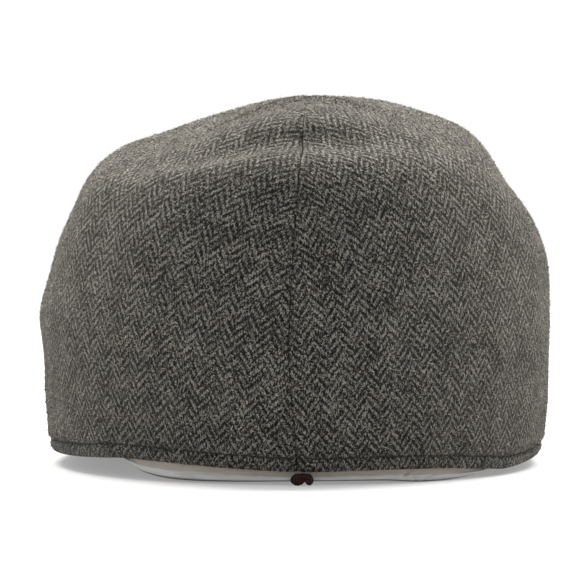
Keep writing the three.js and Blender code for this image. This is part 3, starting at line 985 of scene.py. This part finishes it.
def bow_piece(name, material):
    """Two drooping loops and a leaning knot, each a closed bead."""
    knot, form = BOW_KNOT, BOW_FORM
    points = []
    cloth = []
    faces = []
    sides = form["sides"]
    angles = 2 * math.pi * np.arange(sides) / sides
    least = form["least_full"]
    middle_y = BOW["back"] - knot["depth"]

    def bead(rings, ends):
        """Adds a closed bead from its rings of points and two end points."""
        base = len(points)
        for ring in rings:
            points.extend(ring)
        points.extend(ends)
        faces.extend([base + i for i in face] for face in bead_faces(len(rings), sides))

    last = math.pi / 2 - form["short_of"]
    places = np.sin(np.linspace(form["start"], last, form["stations"]))
    for loop in BOW_LOOPS:
        rings = []
        for s in places:
            swell = s ** form["swell"]
            fullness = least + (1 - least) * math.sin(math.pi * swell) ** form["swell"]
            closing = math.sqrt(max(0.0, 1 - s ** form["tip"]))
            x = knot["x"] + loop["run"] * s
            z = knot["z"] + loop["droop"] * swell
            pleat = 1 - form["pleat"] * (1 - s) * np.cos(form["pleats"] * angles)
            high = loop["full"] * fullness * closing * np.sin(angles)
            deep = loop["deep"] * (least + (1 - least) * fullness) * closing * np.cos(angles) * pleat
            height = np.clip(z + high, form["lowest"], BOW["height"])
            rings.append([(x, middle_y + d, h) for h, d in zip(height, deep)])
            cloth.extend((loop["run"] * s, a) for a in angles)
        tip = knot["z"] + loop["droop"]
        bead(rings, [(knot["x"], middle_y, knot["z"]), (knot["x"] + loop["run"], middle_y, tip)])
        cloth.extend([(0.0, 0.0), (loop["run"], 0.0)])
    rings = []
    for place in np.linspace(-form["knot_end"], form["knot_end"], form["knot_rings"]):
        round_off = math.sqrt(1 - place ** form["bluntness"])
        along = knot["half_height"] * place
        x = knot["x"] + knot["lean"] * along + knot["half_width"] * round_off * np.sin(angles)
        y = middle_y - knot["depth"] * round_off * np.cos(angles)
        z = min(knot["z"] + along, BOW["height"])
        rings.append([(a, b, z) for a, b in zip(x, y)])
        cloth.extend((place, a) for a in angles)
    ends = []
    for along in (-knot["half_height"], knot["half_height"]):
        top = min(knot["z"] + along, BOW["height"])
        ends.append((knot["x"] + knot["lean"] * along, middle_y, top))
    bead(rings, ends)
    cloth.extend([(-1.0, 0.0), (1.0, 0.0)])
    new_piece(name, np.array(points), faces, material, name, np.array(cloth))


# Rows of points across the peak, in shares of the way from its outer edge in: close together at the rim, then
# evenly. The rim is rounded off over a short way, a little less below than above.
PEAK_RIM = (0.0, 0.004, 0.012, 0.024, 0.045, 0.08)
PEAK_GRID = {"turns": 160, "even": (0.13, 1, 26)}
PEAK_ROUND = {"over": 1.6, "off": 1.3, "below": 0.9}


def peak_piece(name, material):
    """The peak with a rounded outer edge, bent about a line from back to front."""
    turns = np.linspace(PEAK_ENDS["turn"], 360 - PEAK_ENDS["turn"], PEAK_GRID["turns"])
    from_end = 180 - PEAK_ENDS["turn"] - np.abs(turns - 180)
    inner_reach = band_reach(np.mod(turns + 180, 360) - 180) + PEAK["gap"]
    overhang = PEAK["overhang"] * np.sqrt(from_end / (180 - PEAK_ENDS["turn"]))
    outer_reach = hem_reach(turns) + overhang
    share = PEAK_ENDS["share"] + (1 - PEAK_ENDS["share"]) * smoothstep(from_end, 0, PEAK_ENDS["taper"])
    thickness = PEAK["thickness"] * share
    top_rows = []
    low_rows = []
    for s in (*PEAK_RIM, *np.linspace(*PEAK_GRID["even"])):
        points = polar_points(turns, outer_reach + (inner_reach - outer_reach) * s, 0.0)
        from_rim = (outer_reach - inner_reach) * s
        round_off = np.clip(1 - from_rim / PEAK_ROUND["over"], 0, 1) ** 2 * PEAK_ROUND["off"] * share
        top = peak_top(points[:, 0])
        low = np.maximum(0, top - thickness + round_off * PEAK_ROUND["below"])
        top_rows.append(np.stack([points[:, 0], points[:, 1], top - round_off], -1))
        low_rows.append(np.stack([points[:, 0], points[:, 1], low], -1))
    points = np.array(low_rows[::-1] + top_rows)
    index = numbered(points)
    faces = grid_faces(np.concatenate([index, index[:1]]))
    faces += end_faces(index[:, 0], True) + end_faces(index[:, -1], False)
    # The cloth is carried on round the edge, by how far a point lies below the top.
    depth = peak_top(points[..., 0]) - points[..., 2]
    cloth = points[..., :2] + direction(turns) * depth[..., None]
    new_piece(name, points.reshape(-1, 3), faces, material, name, cloth.reshape(-1, 2))


# The studio

WHITE = (1.0, 1.0, 1.0)
# Soft boxes, in metres and watts: a long warm strip above, a little to the cap's front, and two weak sides.
KEY = {"size": (2.4, 0.2), "power": 112.0, "colour": (1.0, 0.965, 0.92)}
SIDE = {"size": (0.8, 0.8), "power": 3.0, "colour": WHITE}
LIGHTS = [
    dict(name="key", place=(0.1, 0.3, 1.45), target=(0.1, 0.0, 0.05), **KEY),
    dict(name="right", place=(1.1, 0.15, 0.5), target=(0.0, 0.0, 0.05), **SIDE),
    dict(name="left", place=(-1.1, 0.15, 0.5), target=(0.0, 0.0, 0.05), **SIDE),
]
WORLD_STRENGTH = 1.02
EYE = {
    "place": (-0.0021, -1.2256, 0.0993), "looks_down": 1.818, "lens": 209.24, "sensor": 36.0,
    "near": 0.01, "far": 50.0,
}


def area_light(name, place, target, size, power, colour):
    """A soft box of the given width and depth that faces the target."""
    lamp = bpy.data.lights.new(name, "AREA")
    lamp.shape = "RECTANGLE"
    lamp.size, lamp.size_y = size
    lamp.energy = power
    lamp.color = colour
    light = bpy.data.objects.new(name, lamp)
    bpy.context.collection.objects.link(light)
    way = np.array(target) - np.array(place)
    flat = math.hypot(way[0], way[1])
    light.location = place
    light.rotation_euler = (math.atan2(flat, -way[2]), 0, math.atan2(-way[0], way[1]))


def studio():
    """Plain white floor and surroundings, and the lights."""
    scene = bpy.context.scene
    scene.view_settings.view_transform = "Standard"
    mesh = bpy.data.meshes.new("floor")
    reach = FLOOR["reach"]
    corners = [(-reach, -reach, 0), (reach, -reach, 0), (reach, reach, 0), (-reach, reach, 0)]
    mesh.from_pydata(corners, [], [[0, 1, 2, 3]])
    mesh.materials.append(floor_material("floor"))
    floor = bpy.data.objects.new("floor", mesh)
    bpy.context.collection.objects.link(floor)
    world = bpy.data.worlds.new("studio")
    world.use_nodes = True
    back = world.node_tree.nodes["Background"]
    back.inputs["Color"].default_value = (*WHITE, 1.0)
    back.inputs["Strength"].default_value = WORLD_STRENGTH
    scene.world = world
    for light in LIGHTS:
        area_light(**light)


def camera():
    """The photo's view, from straight behind."""
    data = bpy.data.cameras.new("camera")
    data.sensor_width = EYE["sensor"]
    data.lens = EYE["lens"]
    data.clip_start = EYE["near"]
    data.clip_end = EYE["far"]
    eye = bpy.data.objects.new("camera", data)
    bpy.context.collection.objects.link(eye)
    eye.location = EYE["place"]
    eye.rotation_euler = (math.radians(90 - EYE["looks_down"]), 0, 0)
    bpy.context.scene.camera = eye


camera()
studio()
wool = wool_material("wool")
fuzz = fuzz_material("wool_fuzz")
thread = thread_material("thread")
left_grid = crown_panel("crown_left", -1, wool)
right_grid = crown_panel("crown_right", 1, wool)
fuzz_piece("fuzz_left", left_grid, fuzz, FUZZ["seed"])
fuzz_piece("fuzz_right", right_grid, fuzz, FUZZ["seed"] + 1)
hem_stitches("hem_stitches", thread)
peak_piece("peak", wool_material("peak_wool"))
sweatband_piece("sweatband", band_material("band_cloth"))
bow_piece("sweatband_bow", ribbon_material("ribbon"))
